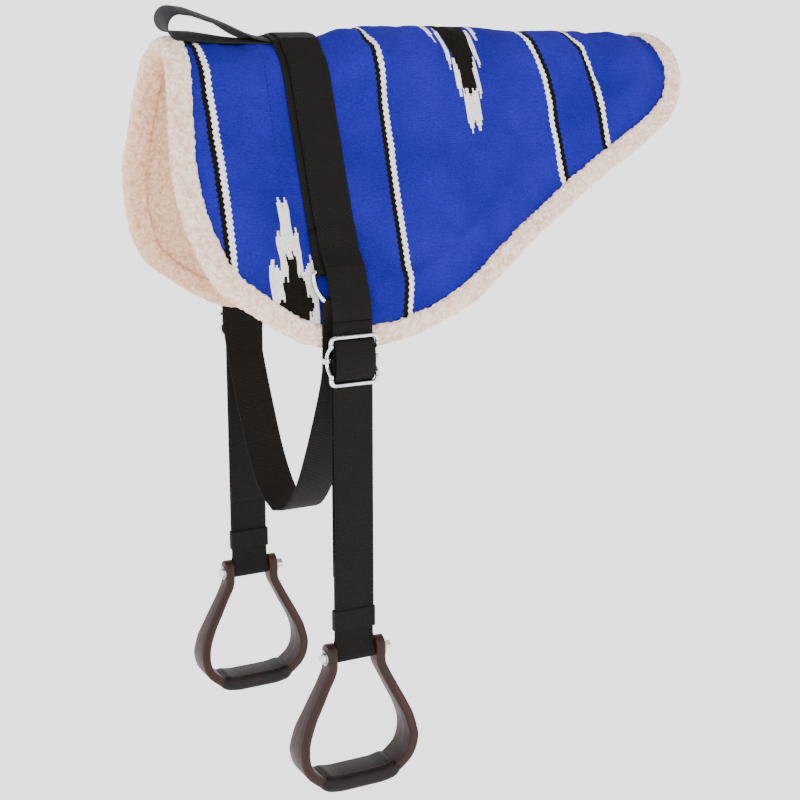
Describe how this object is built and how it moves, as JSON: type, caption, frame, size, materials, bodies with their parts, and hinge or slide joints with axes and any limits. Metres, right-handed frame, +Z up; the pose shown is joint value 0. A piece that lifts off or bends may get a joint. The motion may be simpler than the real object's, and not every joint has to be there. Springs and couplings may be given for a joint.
{
  "type": "bareback pad",
  "caption": "Padded fleece-bound blanket that lies over a horse's back, with surcingle, girth, grab handle and stirrups on adjustable webbing straps.",
  "frame": {"origin": "on the pad's underside, on the spine, under the middle of the stirrup strap", "axes": "+X back along the horse's spine, +Z up, -Y the horse's near (left) side"},
  "size_m": [0.7241, 0.3868, 0.9442],
  "materials": {
    "woven_blue": "tight wool weave",
    "felt": "pressed felt",
    "fleece": "curly fleece",
    "fleece_binding": "curly fleece",
    "black_webbing": "ribbed webbing",
    "handle_webbing": "ribbed webbing",
    "chrome": "polished",
    "zinc_steel": "zinc plated",
    "stained_wood": "dark stain, oiled",
    "tread_leather": "matt, laced underneath"
  },
  "bodies": {
    "pad": {"blanket_cover": "woven_blue", "felt_core": "felt", "fleece_lining": "fleece", "edge_binding": "fleece_binding", "surcingle_webbing": "black_webbing", "over_back_stirrup_strap": "black_webbing", "grab_handle": "handle_webbing", "near_d_ring": "chrome", "off_d_ring": "chrome"},
    "near_strap": {"near_hanging_strap": "black_webbing"},
    "near_slide": {"near_slide_frame": "chrome", "near_slide_bar": "chrome", "near_strap_return": "black_webbing"},
    "near_carrier": {"near_strap_turn": "black_webbing"},
    "near_keeper": {"near_keeper_band": "black_webbing"},
    "near_stirrup": {"near_stirrup_frame": "stained_wood", "near_tread_leather": "tread_leather", "near_neck_bolt": "chrome", "near_spacer_sleeve": "zinc_steel", "near_head_washer": "zinc_steel", "near_nut_washer": "zinc_steel", "near_bolt_nut": "chrome"},
    "off_strap": {"off_hanging_strap": "black_webbing"},
    "off_slide": {"off_slide_frame": "chrome", "off_slide_bar": "chrome", "off_strap_return": "black_webbing"},
    "off_carrier": {"off_strap_turn": "black_webbing"},
    "off_keeper": {"off_keeper_band": "black_webbing"},
    "off_stirrup": {"off_stirrup_frame": "stained_wood", "off_tread_leather": "tread_leather", "off_neck_bolt": "chrome", "off_spacer_sleeve": "zinc_steel", "off_head_washer": "zinc_steel", "off_nut_washer": "zinc_steel", "off_bolt_nut": "chrome"},
    "girth": {"girth_strap": "black_webbing"}
  },
  "joints": [
    {"name": "near_strap_swing", "type": "hinge", "parent": "pad", "child": "near_strap", "pos_m": [0, -0.17281, -0.29996], "axis": [-1, 0, 0], "range_deg": [0, 60]},
    {"name": "near_slide_adjust", "type": "slide", "parent": "near_strap", "child": "near_slide", "axis": [0, 0, -1], "range_m": [0, 0.15]},
    {"name": "near_stirrup_drop", "type": "slide", "parent": "near_strap", "child": "near_carrier", "axis": [0, 0, -1], "range_m": [0, 0.075]},
    {"name": "near_keeper_slide", "type": "slide", "parent": "near_carrier", "child": "near_keeper", "axis": [0, 0, 1], "range_m": [0, 0.06]},
    {"name": "near_stirrup_swing", "type": "hinge", "parent": "near_carrier", "child": "near_stirrup", "pos_m": [0, -0.16936, -0.71396], "axis": [1, 0, 0], "range_deg": [-60, 60]},
    {"name": "off_strap_swing", "type": "hinge", "parent": "pad", "child": "off_strap", "pos_m": [0, 0.17281, -0.29996], "axis": [1, 0, 0], "range_deg": [0, 60]},
    {"name": "off_slide_adjust", "type": "slide", "parent": "off_strap", "child": "off_slide", "axis": [0, 0, -1], "range_m": [0, 0.15]},
    {"name": "off_stirrup_drop", "type": "slide", "parent": "off_strap", "child": "off_carrier", "axis": [0, 0, -1], "range_m": [0, 0.075]},
    {"name": "off_keeper_slide", "type": "slide", "parent": "off_carrier", "child": "off_keeper", "axis": [0, 0, 1], "range_m": [0, 0.06]},
    {"name": "off_stirrup_swing", "type": "hinge", "parent": "off_carrier", "child": "off_stirrup", "pos_m": [0, 0.16936, -0.71396], "axis": [1, 0, 0], "range_deg": [-60, 60]},
    {"name": "girth_swing", "type": "hinge", "parent": "pad", "child": "girth", "pos_m": [-0.0085, 0, -0.25517], "axis": [0, 1, 0], "range_deg": [-8, 8]}
  ],
  "couplings": [
    {"joint": "near_stirrup_drop", "follows": "near_slide_adjust", "ratio": 0.5},
    {"joint": "off_stirrup_drop", "follows": "off_slide_adjust", "ratio": 0.5}
  ]
}
